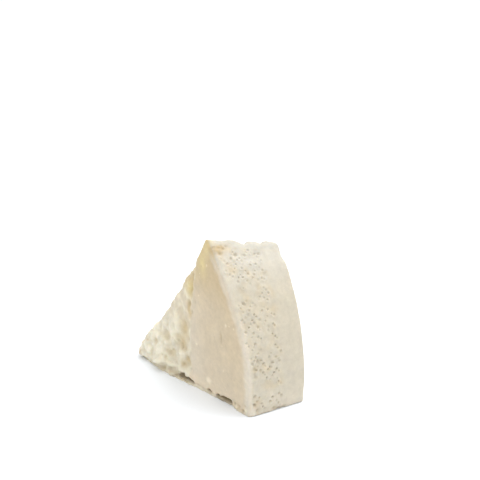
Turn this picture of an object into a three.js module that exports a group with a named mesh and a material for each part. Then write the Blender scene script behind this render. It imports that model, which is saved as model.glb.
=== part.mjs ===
import * as THREE from 'three';
import { ImprovedNoise } from 'three/addons/math/ImprovedNoise.js';
import { mergeVertices } from 'three/addons/utils/BufferGeometryUtils.js';

// A wedge of hard cheese, in millimetres: a sector sawn from a slice of a wheel.
// It stands on one of its two radial cuts. The wheel's axis lies level along Y,
// the tip points to -X, the rind faces +X, and +Z is up. The sizes below are
// measured from the rind's corner at the bottom of the near face.

const { degToRad, lerp, smoothstep } = THREE.MathUtils;

// The wheel that the wedge was cut from
const WHEEL_RADIUS = 145;
const AXIS_HEIGHT = 18;
const AXIS_X = -Math.sqrt(WHEEL_RADIUS ** 2 - AXIS_HEIGHT ** 2);

// The cuts: the lower one lies level, the upper one climbs from the tip to the rind
// and leans to the far side, and the near face leans out as it climbs
const NEAR_TIP_X = -144.6;
const FAR_TIP_X = -129.4;
const LOWEST_ANGLE = Math.asin(-AXIS_HEIGHT / WHEEL_RADIUS);
const NEAR_TOP_ANGLE = degToRad(42);
const FAR_TOP_ANGLE = degToRad(36.7);
const SLICE_WIDTH = 45;
const NEAR_FACE_LEAN = 0.082;

// The grid that carries the relief: its front edge climbs the upper cut to the saddle
const CELLS_ALONG = 38;
const CELLS_ACROSS = 16;
const CELLS_UP = 30;
const SADDLE = 0.46;
const FIRST_LINE = 0.3;

// Rounded edges
const RIND_EDGE_RADIUS = 3;
const RIND_FOOT_RADIUS = 1;
const CUT_EDGE_RADIUS = 1;
const TOP_EDGE_RADIUS = 3.4;

// How deep under a surface its relief still moves the cheese
const RELIEF_REACH = 15;

// Below this height the upper cut has no relief, so the lower cut stays level
const TIP_CALM_HEIGHT = 10;

// Grain of the surfaces: the size of its lumps and how far they stand out
const GRAIN_SIZE = 7;
const BREAK_GRAIN = 2.2;
const CUT_GRAIN = 0.7;

// The broken part of the near face lies left of a curved line
const BREAK_LINE_X = -70.5;
const BREAK_LINE_BOW = 0.002;
const BREAK_FADE = 5;

// The lobe at the tip stands proud, most of all along the ledge above its foot
const LOBE_X = -119;
const LOBE_HALF_LENGTH = 28;
const LOBE_SINK = -6;
const LOBE_SLOPE = 0.16;
const LOBE_UNDERCUT = 2.6;
const LEDGE_HEIGHT = 5;

// The near edge of the upper cut has crumbled away between the lobe and the top
const CHAMFER_DEPTH = 5;
const CHAMFER_HEIGHT = 20;
const CHAMFER_START = 34;
const CHAMFER_END = 130;
const CHAMFER_FADE = 14;
const HOLLOW_DEPTH = 1;

// The ragged upper end of the rind: place and half width of each mark, and how far it
// sinks in, or rises where the value is negative
const RIM_BAND = 16;
const RIM_MARKS = [
  { name: 'near rise', y: 2, half: 11, sink: -1.8 },
  { name: 'middle notch', y: 18, half: 3.5, sink: 2 },
  { name: 'far notch', y: 30.6, half: 3, sink: 1.6 },
  { name: 'far rise', y: 38, half: 6, sink: -2 },
];

// Single marks on the near face: place, half sizes, and how far they sink in
const NEAR_MARKS = [
  { name: 'trough', x: -78, z: 37, rx: 6, rz: 17, sink: 3 },
  { name: 'hole', x: -78, z: 26, rx: 6, rz: 4, sink: 3 },
  { name: 'lower hole', x: -74, z: 14, rx: 5, rz: 5, sink: 2 },
  { name: 'ridge', x: -86, z: 41, rx: 4, rz: 9, sink: -1.6 },
  { name: 'lump', x: -85, z: 17, rx: 5, rz: 5, sink: -3 },
  { name: 'brow pit', x: -61, z: 74, rx: 4, rz: 5, sink: 1.6 },
  { name: 'side pit', x: -64, z: 63, rx: 4, rz: 5, sink: 1.4 },
  { name: 'ledge', x: -92, z: 8, rx: 15, rz: 5, sink: -2.6 },
  { name: 'foot', x: -96, z: 0, rx: 10, rz: 4, sink: -2 },
];

// Chips out of the near lower edge: place, half length and height
const LOWER_CHIPS = [
  { name: 'large chip', x: -75, half: 12, height: 3.4 },
  { name: 'small chip', x: -49, half: 4, height: 1.4 },
  { name: 'long chip', x: -31, half: 12, height: 2.4 },
];
const CHIP_REACH = 7;
const CHIP_CORE = 0.3;

// The plain wedge: every section across the wheel's axis is a fan from the tip

function nearFaceY(z) {
  return -NEAR_FACE_LEAN * z;
}

function onRind(angle) {
  const x = AXIS_X + WHEEL_RADIUS * Math.cos(angle);
  const z = AXIS_HEIGHT + WHEEL_RADIUS * Math.sin(angle);
  return new THREE.Vector2(x, z);
}

function topAngle(across) {
  return lerp(NEAR_TOP_ANGLE, FAR_TOP_ANGLE, across);
}

function tipPoint(across) {
  return new THREE.Vector2(lerp(NEAR_TIP_X, FAR_TIP_X, across), 0);
}

// A section is ruled from its front edge, which climbs from the tip to the saddle
// half way up the upper cut, to the rind, so that no cell shrinks to nothing.
function sectionPoint(along, across, up) {
  const angle = topAngle(across);
  const front = tipPoint(across).lerp(onRind(angle), SADDLE * up);
  const rind = onRind(lerp(LOWEST_ANGLE, angle, up));
  return front.lerp(rind, along);
}

// Grid lines crowd towards the edges, where the rounding needs them.
function crowded(t, cells, inset) {
  const line = Math.round(t * cells);
  if (line <= 1) return line * inset * FIRST_LINE;
  if (line >= cells - 1) return 1 - (cells - line) * inset * FIRST_LINE;
  return inset + ((line - 2) / (cells - 4)) * (1 - 2 * inset);
}

// The relief

const noise = new ImprovedNoise();

// Coarse grain of broken cheese, between about -1 and 1
function grain(x, y, z) {
  return noise.noise(x / GRAIN_SIZE, y / GRAIN_SIZE, z / GRAIN_SIZE);
}

function mound(x, z, mark) {
  const u = (x - mark.x) / mark.rx;
  const w = (z - mark.z) / mark.rz;
  return Math.exp(-u * u - w * w);
}

// 1 along the crumbled part of the upper cut's near edge, 0 beyond its ends
function crumbledSpan(climb) {
  const begun = smoothstep(climb, CHAMFER_START, CHAMFER_START + CHAMFER_FADE);
  const ended = smoothstep(climb, CHAMFER_END - CHAMFER_FADE, CHAMFER_END);
  return begun * (1 - ended);
}

// How far the broken part of the near face is sunk, without its single marks
function breakSink(x, z, climb, belowUpper) {
  const inside = BREAK_LINE_X + BREAK_LINE_BOW * z * z - x;
  const broken = smoothstep(inside, 0, BREAK_FADE);
  const chamfer = CHAMFER_DEPTH * crumbledSpan(climb) * (1 - smoothstep(belowUpper, 0, CHAMFER_HEIGHT));
  const lobeSpan = 1 - smoothstep(Math.abs(x - LOBE_X), LOBE_HALF_LENGTH / 2, LOBE_HALF_LENGTH);
  const undercut = LOBE_UNDERCUT * (1 - smoothstep(z, 0, LEDGE_HEIGHT));
  const lobe = lobeSpan * (LOBE_SINK + LOBE_SLOPE * z + undercut);
  return broken * (chamfer + lobe + BREAK_GRAIN * grain(x, 0, z));
}

function nearSink(x, z, climb, belowUpper) {
  const marks = NEAR_MARKS.reduce((sum, mark) => sum + mark.sink * mound(x, z, mark), 0);
  return marks + breakSink(x, z, climb, belowUpper);
}

function upperSink(climb, across, y) {
  const hollow = HOLLOW_DEPTH * crumbledSpan(climb) * (1 - smoothstep(across, 0, 1));
  return hollow + CUT_GRAIN * grain(climb, y, 0);
}

function rimSink(y) {
  return RIM_MARKS.reduce((sum, mark) => {
    const t = (y - mark.y) / mark.half;
    return sum + mark.sink * Math.exp(-t * t);
  }, 0);
}

function lowerLift(x, depth) {
  const chips = LOWER_CHIPS.reduce((sum, chip) => {
    const t = Math.abs(x - chip.x) / chip.half;
    return sum + chip.height * (1 - smoothstep(t, CHIP_CORE, 1));
  }, 0);
  return chips * (1 - smoothstep(depth, 0, CHIP_REACH));
}

// Rounds the edge between two surfaces, given the depths a and b below each
function roundedShift(a, b, radius) {
  if (a >= radius || b >= radius) return [0, 0];
  const length = Math.hypot(radius - a, radius - b);
  if (length <= radius) return [0, 0];
  const keep = radius / length;
  return [(radius - a) * (1 - keep), (radius - b) * (1 - keep)];
}

// Depth of a point below each of the five surfaces, and the way in from each
function depthsAt(flat, y, across) {
  const tip = tipPoint(across);
  const climbing = onRind(topAngle(across)).sub(tip).normalize();
  const inward = new THREE.Vector2(climbing.y, -climbing.x);
  const fromTip = flat.clone().sub(tip);
  const outward = new THREE.Vector2(flat.x - AXIS_X, flat.y - AXIS_HEIGHT);
  const belowRind = Math.max(WHEEL_RADIUS - outward.length(), 0);
  outward.normalize();
  return {
    climb: fromTip.dot(climbing),
    near: { depth: y - nearFaceY(flat.y), way: new THREE.Vector3(0, 1, 0) },
    far: { depth: SLICE_WIDTH - y, way: new THREE.Vector3(0, -1, 0) },
    rind: { depth: belowRind, way: new THREE.Vector3(-outward.x, 0, -outward.y) },
    lower: { depth: flat.y, way: new THREE.Vector3(0, 0, 1) },
    upper: {
      depth: Math.max(fromTip.dot(inward), 0),
      way: new THREE.Vector3(inward.x, 0, inward.y),
    },
  };
}

function shapedPoint(along, across, up) {
  const flat = sectionPoint(along, across, up);
  const y = lerp(nearFaceY(flat.y), SLICE_WIDTH, across);
  const { climb, near, far, rind, lower, upper } = depthsAt(flat, y, across);
  const shift = new THREE.Vector3();

  const edges = [
    [rind, near, RIND_EDGE_RADIUS],
    [rind, far, RIND_EDGE_RADIUS],
    [rind, lower, RIND_FOOT_RADIUS],
    [rind, upper, TOP_EDGE_RADIUS],
    [near, upper, CUT_EDGE_RADIUS],
    [far, upper, CUT_EDGE_RADIUS],
  ];
  for (const [first, second, radius] of edges) {
    const [moveFirst, moveSecond] = roundedShift(first.depth, second.depth, radius);
    shift.addScaledVector(first.way, moveFirst);
    shift.addScaledVector(second.way, moveSecond);
  }

  const fade = (depth) => Math.max(1 - depth / RELIEF_REACH, 0);
  const sunk = nearSink(flat.x, flat.y, climb, upper.depth);
  shift.addScaledVector(near.way, sunk * fade(near.depth));

  const atRim = 1 - smoothstep(rind.depth, 0, RIM_BAND);
  const lowered = lerp(upperSink(climb, across, y), rimSink(y), atRim);
  const clearOfTable = smoothstep(flat.y, 0, TIP_CALM_HEIGHT);
  shift.addScaledVector(upper.way, lowered * fade(upper.depth) * clearOfTable);

  const lift = lowerLift(flat.x, near.depth);
  shift.addScaledVector(lower.way, lift * fade(lower.depth));

  const point = new THREE.Vector3(flat.x, y, flat.y).add(shift);
  point.z = Math.max(point.z, 0);
  return point;
}

function wedgeGeometry() {
  const box = new THREE.BoxGeometry(1, 1, 1, CELLS_ALONG, CELLS_ACROSS, CELLS_UP);
  box.deleteAttribute('normal');
  box.deleteAttribute('uv');
  const geometry = mergeVertices(box);
  const position = geometry.attributes.position;
  const insetAlong = -RIND_EDGE_RADIUS / NEAR_TIP_X;
  const insetAcross = RIND_EDGE_RADIUS / SLICE_WIDTH;
  for (let i = 0; i < position.count; i += 1) {
    const along = crowded(position.getX(i) + 0.5, CELLS_ALONG, insetAlong);
    const across = crowded(position.getY(i) + 0.5, CELLS_ACROSS, insetAcross);
    const up = crowded(position.getZ(i) + 0.5, CELLS_UP, insetAlong);
    const point = shapedPoint(along, across, up);
    position.setXYZ(i, point.x, point.y, point.z);
  }
  geometry.computeVertexNormals();
  geometry.computeBoundingBox();
  const { min, max } = geometry.boundingBox;
  geometry.translate(-(min.x + max.x) / 2, -(min.y + max.y) / 2, -min.z);
  return geometry;
}

function cheeseMaterial() {
  return new THREE.MeshStandardMaterial({ color: 0xdccfb6, roughness: 0.6, metalness: 0 });
}

const wedge = new THREE.Mesh(wedgeGeometry(), cheeseMaterial());
wedge.name = 'cheese_wedge';

const model = new THREE.Group();
model.add(wedge);

export default model;
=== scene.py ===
# %% [markdown]
# # A wedge of hard sheep's milk cheese
# The real thing is a sector of a wheel, sawn from a slice and stood on one of its cut
# faces. This lesson rebuilds it in the order a cheesemonger would recognise: first the
# wheel, then the cuts, then the break at the tip, then the fine surface. The packed
# model is loaded first, because every size and place has to agree with it.

# %% Load the frame
import math

import bmesh
import bpy
import numpy as np
from mathutils import Matrix, Vector, kdtree, noise


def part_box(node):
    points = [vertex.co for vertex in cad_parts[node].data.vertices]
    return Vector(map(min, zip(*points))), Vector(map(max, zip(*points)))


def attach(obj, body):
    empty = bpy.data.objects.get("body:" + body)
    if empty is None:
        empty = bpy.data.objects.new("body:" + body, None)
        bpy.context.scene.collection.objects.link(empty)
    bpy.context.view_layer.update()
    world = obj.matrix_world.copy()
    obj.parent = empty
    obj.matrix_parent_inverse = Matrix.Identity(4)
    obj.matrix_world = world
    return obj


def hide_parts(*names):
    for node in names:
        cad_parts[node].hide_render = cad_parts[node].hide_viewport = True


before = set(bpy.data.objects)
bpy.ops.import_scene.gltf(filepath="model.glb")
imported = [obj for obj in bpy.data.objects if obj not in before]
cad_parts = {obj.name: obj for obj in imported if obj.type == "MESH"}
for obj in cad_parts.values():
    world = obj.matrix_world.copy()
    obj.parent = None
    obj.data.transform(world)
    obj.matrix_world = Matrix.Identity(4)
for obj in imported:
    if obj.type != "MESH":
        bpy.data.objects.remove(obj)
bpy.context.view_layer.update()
MM = 0.001
low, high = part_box("cheese_wedge")
print("the packed wedge measures", [round(v / MM, 1) for v in high - low], "mm")

# %% [markdown]
# ## Sizes
# The wedge is worked out in millimetres from its heel: the corner of the rind at the
# bottom of the near face. X runs from the tip to the rind, Y along the wheel's axis
# and Z up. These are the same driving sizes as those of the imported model.

# %% Sizes of the wheel and its cuts, in millimetres
WHEEL_RADIUS = 145.0
AXIS_HEIGHT = 18.0
AXIS_X = -math.sqrt(WHEEL_RADIUS**2 - AXIS_HEIGHT**2)
SLICE_WIDTH = 45.0
NEAR_FACE_LEAN = 0.082
NEAR_TIP_X = -144.6
NEAR_TOP_ANGLE = math.radians(42.0)
FAR_TOP_ANGLE = math.radians(36.7)


def on_rind(angle, y, radius=WHEEL_RADIUS):
    """A point of the wheel's rim, at an angle up from the level of its axis."""
    return Vector((AXIS_X + radius * math.cos(angle), y, AXIS_HEIGHT + radius * math.sin(angle)))


near_tip = Vector((NEAR_TIP_X, 0.0, 0.0))
near_top = on_rind(NEAR_TOP_ANGLE, 0.0)
near_top.y = -NEAR_FACE_LEAN * near_top.z
far_top = on_rind(FAR_TOP_ANGLE, SLICE_WIDTH)
climb_way = (near_top - near_tip).normalized()
upper_normal = (near_top - near_tip).cross(far_top - near_tip).normalized()
heel = Vector((high.x - (WHEEL_RADIUS + AXIS_X) * MM, high.y - SLICE_WIDTH * MM, low.z))
print("upper cut faces", [round(v, 2) for v in upper_normal], "heel at", [round(v, 4) for v in heel])

# %% [markdown]
# ## The camera and the room
# The photo looks at the wedge from its rind side and a little from above, through a
# fairly long lens. The lens length comes from the picture's field of view.

# %% Camera
CAMERA_AZIMUTH = math.radians(54.5)
CAMERA_PITCH = math.radians(16.5)
CAMERA_DISTANCE = 750.0
CAMERA_AIM = Vector((-12.2, 0.0, 120.3))
FIELD_OF_VIEW = math.radians(23.25)


def placed(point):
    """A place given in millimetres from the heel, in metres in the model's frame."""
    return heel + Vector(point) * MM


back = Vector((
    math.sin(CAMERA_AZIMUTH) * math.cos(CAMERA_PITCH),
    -math.cos(CAMERA_AZIMUTH) * math.cos(CAMERA_PITCH),
    math.sin(CAMERA_PITCH),
))
camera_data = bpy.data.cameras.new("camera")
camera_data.sensor_fit = "HORIZONTAL"
camera_data.angle = FIELD_OF_VIEW
camera = bpy.data.objects.new("camera", camera_data)
camera.location = placed(CAMERA_AIM + back * CAMERA_DISTANCE)
camera.rotation_euler = back.to_track_quat("Z", "Y").to_euler()
scene = bpy.context.scene
scene.collection.objects.link(camera)
scene.camera = camera
print("lens", round(camera_data.lens, 1), "mm")

# %% [markdown]
# The photo was taken on white under a large soft light. The world gives that light
# from all sides and is brightest straight above, so that faces which look down and
# gaps at the foot stay dark. One wide lamp behind adds the soft shadow in front. The
# floor is matt white paper: it gives no reflection and only holds that shadow. Two
# helpers serve the world as well as the finish of the cheese. One adds a node with its
# settings and links, and the other turns a colour of the screen into linear light.

# %% World, and helpers for nodes and colours
def add(tree, kind, inputs=(), **settings):
    """Adds a node; inputs maps a socket's name or number to a value or to another node's output."""
    node = tree.nodes.new(kind)
    for name, value in settings.items():
        setattr(node, name, value)
    for key, value in dict(inputs).items():
        if isinstance(value, bpy.types.NodeSocket):
            tree.links.new(value, node.inputs[key])
        else:
            node.inputs[key].default_value = value
    return node


def linear(hex_code):
    """An sRGB colour written as hex, as the linear numbers that Blender works with."""
    parts = [int(hex_code[start:start + 2], 16) / 255 for start in (0, 2, 4)]
    return (*[part / 12.92 if part <= 0.04 else ((part + 0.055) / 1.055) ** 2.4 for part in parts], 1)


SKY_WHITE = linear("FFFFFF")
SKY_AT_HORIZON = 0.5
SKY_OVERHEAD = 1.45

scene.view_settings.view_transform = "Standard"
world = bpy.data.worlds.new("studio")
world.use_nodes = True
sky = world.node_tree
direction = add(sky, "ShaderNodeTexCoord").outputs["Generated"]
upward = add(sky, "ShaderNodeSeparateXYZ", {0: direction}).outputs["Z"]
strength = add(sky, "ShaderNodeMapRange", {
    "Value": upward, "To Min": SKY_AT_HORIZON, "To Max": SKY_OVERHEAD,
})
sky.links.new(strength.outputs["Result"], sky.nodes["Background"].inputs["Strength"])
sky.nodes["Background"].inputs["Color"].default_value = SKY_WHITE
scene.world = world
print("the sky rises from", SKY_AT_HORIZON, "at the horizon to", SKY_OVERHEAD, "overhead")

# %% Floor and lamp
FLOOR_COLOUR = linear("F5F9FE")
FLOOR_HALF_SIZE = 12.0
FLOOR_GAP = 0.00005
PAPER_ROUGHNESS = 0.9
LAMP_PLACE = (150, 450, 1000)
LAMP_TARGET = (-40, 20, 40)
LAMP_SIZE = 1.0
LAMP_POWER = 7.0

bm = bmesh.new()
bmesh.ops.create_grid(bm, x_segments=1, y_segments=1, size=FLOOR_HALF_SIZE)
floor_mesh = bpy.data.meshes.new("floor")
bm.to_mesh(floor_mesh)
bm.free()
floor = bpy.data.objects.new("floor", floor_mesh)
floor.location.z = low.z - FLOOR_GAP
scene.collection.objects.link(floor)
paper = bpy.data.materials.new("white_studio_paper")
paper.use_nodes = True
paper_inputs = paper.node_tree.nodes["Principled BSDF"].inputs
paper_inputs["Base Color"].default_value = FLOOR_COLOUR
paper_inputs["Roughness"].default_value = PAPER_ROUGHNESS
floor_mesh.materials.append(paper)
lamp_data = bpy.data.lights.new("overhead", "AREA")
lamp_data.shape = "DISK"
lamp_data.size = LAMP_SIZE
lamp_data.energy = LAMP_POWER
lamp = bpy.data.objects.new("overhead", lamp_data)
lamp.location = placed(LAMP_PLACE)
beam = lamp.location - placed(LAMP_TARGET)
lamp.rotation_euler = beam.to_track_quat("Z", "Y").to_euler()
scene.collection.objects.link(lamp)
print("the lamp hangs", round(beam.length, 2), "m from the wedge")

# %% [markdown]
# ## The wheel and the cuts
# A real wedge starts as a drum of cheese, so this one starts as a cylinder lying on
# its side. Four planes then saw it: the lower and the upper cut, and the two faces of
# the slice. An outline pushed out sideways would give a block too, but planes can lean
# the way the saw's cuts do. `bisect_plane` throws away what lies beyond a plane and
# leaves a hole, and one new face closes it.

# %% Saw the wedge out of the wheel
WHEEL_SEGMENTS = 480
WHEEL_WIDTH = 140.0


def cut_away(bm, point, normal):
    """Saws off what lies beyond a plane, and closes the cut with one face."""
    everything = bm.verts[:] + bm.edges[:] + bm.faces[:]
    cut = bmesh.ops.bisect_plane(
        bm, geom=everything, dist=1e-4, plane_co=point, plane_no=normal, clear_outer=True
    )["geom_cut"]
    bmesh.ops.edgeloop_fill(bm, edges=[part for part in cut if isinstance(part, bmesh.types.BMEdge)])


bm = bmesh.new()
bmesh.ops.create_cone(
    bm, cap_ends=True, segments=WHEEL_SEGMENTS, radius1=WHEEL_RADIUS, radius2=WHEEL_RADIUS, depth=WHEEL_WIDTH
)
bmesh.ops.rotate(bm, verts=bm.verts, matrix=Matrix.Rotation(math.pi / 2, 3, "X"))
bmesh.ops.translate(bm, verts=bm.verts, vec=(AXIS_X, SLICE_WIDTH / 2, AXIS_HEIGHT))
cut_away(bm, (0, 0, 0), (0, 0, -1))
cut_away(bm, near_tip, upper_normal)
cut_away(bm, (0, 0, 0), (0, -1, -NEAR_FACE_LEAN))
cut_away(bm, (0, SLICE_WIDTH, 0), (0, 1, 0))
bmesh.ops.recalc_face_normals(bm, faces=bm.faces)
print("the sawn wedge has", len(bm.faces), "faces and", round(bm.calc_volume() / 1000), "cm3")

# %% [markdown]
# The wheel was round at its rims: salt, brine and handling wear a rind's edge to a
# radius of a few millimetres. `bevel` rounds those two long edges with five strips each.

# %% Round the rind's long edges
NEAR_EDGE_RADIUS = 2.6
FAR_EDGE_RADIUS = 1.0
EDGE_STRIPS = 5


def is_rind(face):
    middle = face.calc_center_median()
    radius = math.hypot(middle.x - AXIS_X, middle.z - AXIS_HEIGHT)
    return abs(radius - WHEEL_RADIUS) < 0.5 and abs(face.normal.y) < 0.1


for side, width in ((-1, NEAR_EDGE_RADIUS), (1, FAR_EDGE_RADIUS)):
    rim = [
        edge for edge in bm.edges
        if sum(is_rind(face) for face in edge.link_faces) == 1
        and any(face.normal.y * side > 0.9 for face in edge.link_faces)
    ]
    bmesh.ops.bevel(
        bm, geom=rim, offset=width, offset_type="OFFSET", segments=EDGE_STRIPS,
        profile=0.5, affect="EDGES", material=-1,
    )
    print("rounded", len(rim), "edges of the rim by", width, "mm")
sawn = bpy.data.meshes.new("sawn_wedge")
bm.to_mesh(sawn)
bm.free()

# %% [markdown]
# ## An even skin
# The relief is pushed into the surface point by point, so the points have to be spread
# evenly. A voxel Remesh modifier gives the same shape a skin of small equal squares.
# The big shapes are pushed into a coarse skin, which is then remeshed finer, because
# deep relief stretches the squares.

# %% Even skin
COARSE_SQUARE = 0.85
FINE_SQUARE = 0.8


def even_skin(mesh, square):
    """The same shape with a skin of small equal squares."""
    helper = bpy.data.objects.new("helper", mesh)
    scene.collection.objects.link(helper)
    remesh = helper.modifiers.new("even_skin", "REMESH")
    remesh.mode = "VOXEL"
    remesh.voxel_size = square
    depsgraph = bpy.context.evaluated_depsgraph_get()
    skin = bpy.data.meshes.new_from_object(helper.evaluated_get(depsgraph))
    bpy.data.objects.remove(helper)
    return skin


def points_of(mesh):
    flat = np.empty(len(mesh.vertices) * 3, np.float32)
    mesh.vertices.foreach_get("co", flat)
    return flat.reshape(-1, 3).astype(float)


def normals_of(mesh):
    flat = np.empty(len(mesh.vertices) * 3, np.float32)
    mesh.vertex_normals.foreach_get("vector", flat)
    return flat.reshape(-1, 3).astype(float)


def move_points(mesh, points):
    mesh.vertices.foreach_set("co", points.astype(np.float32).ravel())
    mesh.update()


skin = even_skin(sawn, COARSE_SQUARE)
print("the coarse skin has", len(skin.vertices), "points")

# %% [markdown]
# ## The large breaks
# Hard cheese breaks rather than cuts. The left part of the near face has come away:
# a lobe stands proud at the tip, a trough and some holes lie beside the sawn part, and
# the edge above has crumbled. Each of these is a soft mound or hollow, given by its
# place, its half sizes and how far it sinks in, and the skin is pushed along Y by
# their sum. Sculpting by hand would do too, but a number can be measured, compared and
# changed on its own. The helpers below shape all the breaks, and tell how deep a point
# lies behind each face.

# %% Helpers for the relief
NEAR_TIP = np.array(near_tip)
CLIMB = np.array(climb_way)
UPPER = np.array(upper_normal)


def smoothstep(value, start, end):
    """0 up to the start, then softly up to 1 at the end."""
    t = np.clip((value - start) / (end - start), 0, 1)
    return t * t * (3 - 2 * t)


def until(value, start, end):
    """1 up to the start, then softly down to 0 at the end."""
    return 1 - smoothstep(value, start, end)


def span(value, start, end, fade):
    """1 between start and end, 0 outside, with soft ends."""
    return smoothstep(value, start, start + fade) * until(value, end - fade, end)


def hump(value, middle, half):
    """1 at the middle, falling away on both sides like a bell."""
    return np.exp(-(((value - middle) / half) ** 2))


def cloud(points, size, seed=0.0):
    """Smooth noise with lumps of about the given size, between about -1 and 1."""
    shift = Vector((seed, 2.7 * seed, -1.3 * seed))
    return np.array([noise.noise(Vector(point) + shift) for point in points / size])


def depths(points):
    """How deep points lie behind the near face, the upper cut and the rind, and how far up the cut."""
    x, y, z = points.T
    near = y + NEAR_FACE_LEAN * z
    upper = -(points - NEAR_TIP) @ UPPER
    rind = WHEEL_RADIUS - np.hypot(x - AXIS_X, z - AXIS_HEIGHT)
    climb = (points - NEAR_TIP) @ CLIMB
    return near, upper, rind, climb


print("the upper cut climbs at", round(math.degrees(math.asin(CLIMB[2])), 1), "degrees")

# %% [markdown]
# The break runs from the tip to a bowed line on the near face. Its lobe leans back as it
# rises, and the edge above has crumbled into a chamfer. The table lists the mounds and
# hollows by name: X and Z of the middle, half the width, half the height and the depth,
# which is negative for a mound.

# %% Break of the near face
BREAK_LINE_X = -70.5
BREAK_LINE_BOW = 0.002
BREAK_FADE = 3.0
BREAK_GRAIN = 1.5
GRAIN_SIZE = 9.0
LOBE_X, LOBE_HALF_LENGTH = -119.0, 28.0
LOBE_SINK, LOBE_SLOPE = -6.4, 0.16
CHAMFER_DEPTH, CHAMFER_HEIGHT = 2.4, 20.0
CHAMFER_START, CHAMFER_END, CHAMFER_FADE = 32.0, 133.0, 9.0
NEAR_MARKS = [
    ("trough", -79, 28, 6.5, 6.5, 1.7),
    ("trough top", -75, 42, 4.5, 7.5, 1.5),
    ("lower hole", -73.5, 17, 4, 4, 1.2),
    ("corner hollow", -71, 10, 3.5, 3, 0.8),
    ("ridge", -84.5, 43, 3, 6.5, -2.2),
    ("ridge foot", -91, 33.5, 3.5, 4, -1.7),
    ("white lump", -79.5, 20, 5, 3.2, -3.0),
    ("brow pit", -60, 74, 2.5, 4.5, 0.8),
    ("side pit", -66, 62.5, 2.5, 3.5, 0.5),
    ("smudge", -63.5, 57, 2.4, 3.5, 0.6),
    ("side lump", -69.5, 67, 3.5, 3.5, -1.2),
    ("mid lump", -72, 55, 4.5, 4, -0.8),
    ("groove", -100.5, 29, 3, 6, 1.2),
    ("lobe crown", -114, 27, 6, 5, -1.2),
    ("lobe lump", -104.5, 16, 5, 4, -1.8),
    ("tip lump", -124, 14.5, 4.5, 4, -1.4),
    ("tip brow", -118.5, 27.5, 4, 4, -1.1),
    ("tip shoulder", -129, 15.5, 3.5, 4, 1.7),
    ("tip point", -134, 9.5, 3.5, 3.2, 2.2),
    ("lobe pit", -112, 20, 2.5, 2, 1.3),
    ("mid pit", -115.5, 14, 2, 2, 0.8),
    ("far pit", -121.5, 19.5, 2.5, 2, 1.2),
    ("near pit", -94.5, 16.5, 3.5, 3, 0.8),
]


def mounds(x, z, marks):
    """The sum of all marks at each point; a hollow counts up and a mound counts down."""
    total = np.zeros_like(x)
    for name, mark_x, mark_z, half_x, half_z, sink in marks:
        total += sink * hump(x, mark_x, half_x) * hump(z, mark_z, half_z)
    return total


print(len(NEAR_MARKS), "mounds and hollows on the near face")

# %% [markdown]
# Below a ledge the foot of the break falls back to the line where the wedge touches the
# table. The ledge's height and the foot's place change along the face, so both are
# short lines of corner points. Towards the tip the foot is ragged as well. Under the
# sawn face it is a thin burr that stands out by a millimetre.

# %% Lines of the ledge and the foot
LEDGE_LINE = [
    (-144, 2.0), (-128, 3.6), (-114, 5.0), (-104, 7.4), (-98, 8.2), (-92, 7.0), (-84, 6.8), (-76, 7.2),
    (-70, 5.6), (-65, 2.8),
]
LEDGE_LIP, LIP_ABOVE, LIP_BELOW = 3.2, 2.6, 1.5
LIP_SPAN = (-120.0, -62.0)
FOOT_LINE = [
    (-147, 0.3), (-138, -1.8), (-122, -4.4), (-111, -5.5), (-97, -5.2), (-87, -4.8), (-80, -4.1),
    (-74, -3.4), (-64, -2.3), (-52, -1.4), (-40, -0.8), (-30, 0.2), (-22, 1.1), (-18.5, -0.6),
    (-8, -1.3), (0, -0.8),
]
BURR_HEIGHTS = (0.6, 1.5)
UNDER_LEDGE = (-146.0, -64.0)
FOOT_RAGGEDNESS, FOOT_TOOTH, FOOT_RAGGED_END = 0.9, 4.5, (62, 74)

print("the ledge is", max(height for way, height in LEDGE_LINE), "mm high at most")

# %% [markdown]
# Slots lie above the foot: two wide dark gaps, a small chip and the thin line between
# them. Each slot has a depth, and corner points with the heights of its floor and its
# roof.

# %% Slots
SLOT_EDGE = 0.8
SLOT_END = 1.2
SLOT_RAGGEDNESS, SLOT_TOOTH, SLOT_RAGGED_HEIGHTS = 0.2, 2.5, (1, 4)
SLOTS = [
    ("large gap", 6.0, [
        (-87, 1.2, 1.8), (-82, 1.6, 4.2), (-77, 1.6, 5.3),
        (-72, 1.5, 4.8), (-68, 1.3, 3.5), (-65.3, 1.0, 1.8),
    ]),
    ("lower edge", 1.8, [(-66, 0.9, 1.9), (-40, 0.9, 1.8)]),
    ("small chip", 3.5, [(-53, 0.9, 1.8), (-49, 1.0, 3.9), (-45, 0.9, 1.8)]),
    ("small gap", 6.0, [
        (-41.5, 0.9, 1.9), (-38.3, 1.0, 3.9), (-35.4, 1.1, 2.7),
        (-32.5, 1.2, 4.4), (-27, 1.3, 4.7), (-21.3, 1.5, 4.9),
    ]),
]


def slot_depths(points):
    """How deep a slot is cut at the height and place of each point."""
    x, y, z = points.T
    ragged = SLOT_RAGGEDNESS * cloud(points * (1, 0, 0), SLOT_TOOTH, seed=2.0)
    cut = np.zeros_like(x)
    for name, depth, corners in SLOTS:
        way, floors, roofs = np.transpose(corners)
        bottom = np.interp(x, way, floors)
        level = np.interp(x, way, roofs)
        roof = level + ragged * smoothstep(level, *SLOT_RAGGED_HEIGHTS)
        inside = smoothstep(z, bottom - SLOT_EDGE / 2, bottom + SLOT_EDGE / 2)
        inside *= until(z, roof - SLOT_EDGE, roof) * span(x, way[0], way[-1], SLOT_END)
        cut = np.maximum(cut, depth * inside)
    return cut


print(len(SLOTS), "slots along the foot of the near face")

# %% [markdown]
# All of this adds up to how far each point of the near face sinks in. First come the
# marks. Left of the line where the sawn part ends, the lobe, the crumbled edge and some
# coarse grain are added. Then the foot is drawn back, the ledge's lip is brought forward
# and the slots are cut.

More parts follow.
